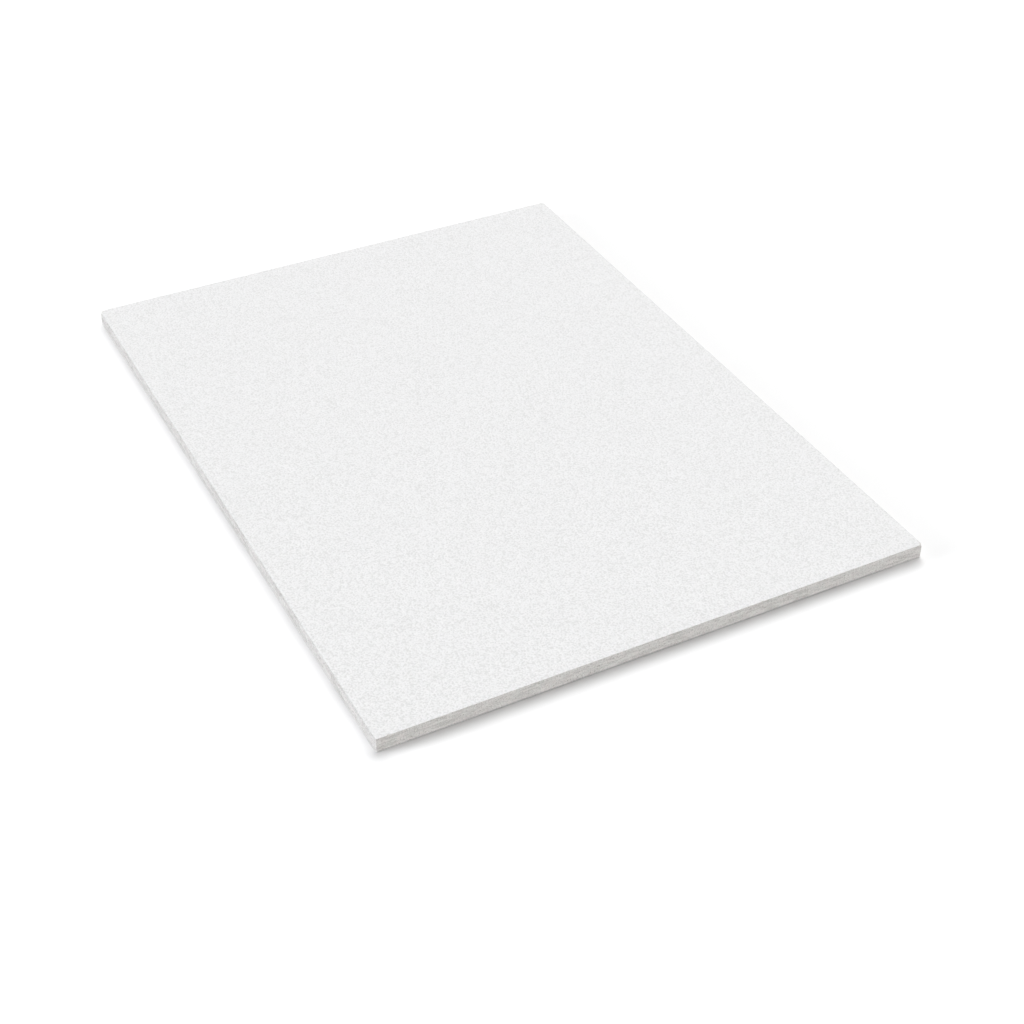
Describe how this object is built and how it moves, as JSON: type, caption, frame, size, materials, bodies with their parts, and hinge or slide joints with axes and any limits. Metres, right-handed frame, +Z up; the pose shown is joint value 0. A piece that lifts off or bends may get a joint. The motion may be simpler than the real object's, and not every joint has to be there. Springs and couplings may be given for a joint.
{
  "type": "ceiling board",
  "caption": "Flat rectangular mineral fibre ceiling board with square sawn edges and a fine-textured white painted face, for laying in a ceiling grid.",
  "frame": {"origin": "centre of the back face, on the surface that the board lies on", "axes": "+X across the board's width, +Y along its length, +Z up out of the painted face"},
  "size_m": [0.595, 0.795, 0.016],
  "materials": {
    "painted_mineral_fibre": "matte"
  },
  "bodies": {
    "root": {"ceiling_board": "painted_mineral_fibre"}
  },
  "joints": []
}
